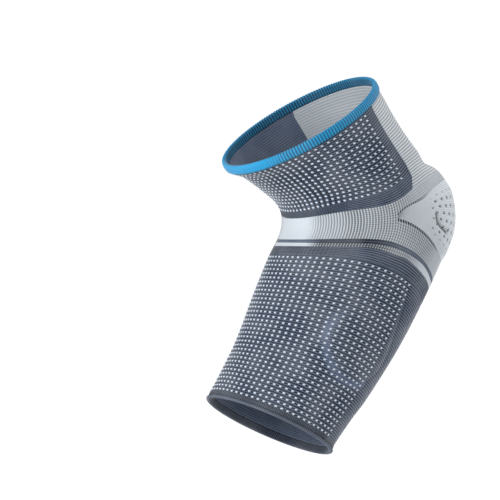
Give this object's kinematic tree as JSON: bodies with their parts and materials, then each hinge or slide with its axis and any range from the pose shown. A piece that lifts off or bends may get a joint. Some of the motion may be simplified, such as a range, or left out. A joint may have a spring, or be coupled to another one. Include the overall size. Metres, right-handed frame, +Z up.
{
  "type": "elbow support",
  "caption": "Bent knitted compression sleeve for the elbow: rolled welt, dotted panels, shaped elbow cup and silicone pads under the knit.",
  "frame": {"origin": "the wearer's elbow joint, on the middle plane of the arm", "axes": "+Y along the elbow's flexion axis, +X to the tip of the elbow, +Z up; the upper arm leaves up and to -X, the forearm down and to -X"},
  "size_m": [0.1481, 0.0976, 0.2128],
  "materials": {
    "welt_knit": "ribbed knit, turquoise blue",
    "slate_knit": "compression knit, slate blue-grey with pale floats",
    "light_knit": "soft mesh knit, light grey",
    "lining_knit": "fine smooth knit, grey",
    "silicone": "matte translucent silicone",
    "elastic": "covered elastic"
  },
  "bodies": {
    "upper_arm_sleeve": {"top_welt": "welt_knit", "welt_elastic": "elastic", "upper_front_panel": "slate_knit", "upper_plain_border": "slate_knit", "upper_back_panel": "light_knit", "crook_band": "light_knit", "elbow_cup": "light_knit"},
    "forearm_sleeve": {"dark_stripe": "slate_knit", "light_stripe": "light_knit", "forearm_plain_border": "slate_knit", "forearm_panel": "slate_knit", "forearm_back_panel": "slate_knit", "bottom_hem": "slate_knit", "hem_elastic": "elastic", "lateral_pad": "silicone", "medial_pad": "silicone", "lateral_pad_pocket": "lining_knit", "medial_pad_pocket": "lining_knit"}
  },
  "joints": [
    {"name": "elbow_flex", "type": "hinge", "parent": "upper_arm_sleeve", "child": "forearm_sleeve", "pos_m": [0, 0, 0], "axis": [0, 1, 0], "range_deg": [-70, 18], "stiffness_Nm_per_rad": 0.6, "deforming": ["upper_plain_border", "crook_band", "elbow_cup", "dark_stripe", "light_stripe", "forearm_plain_border"]}
  ]
}
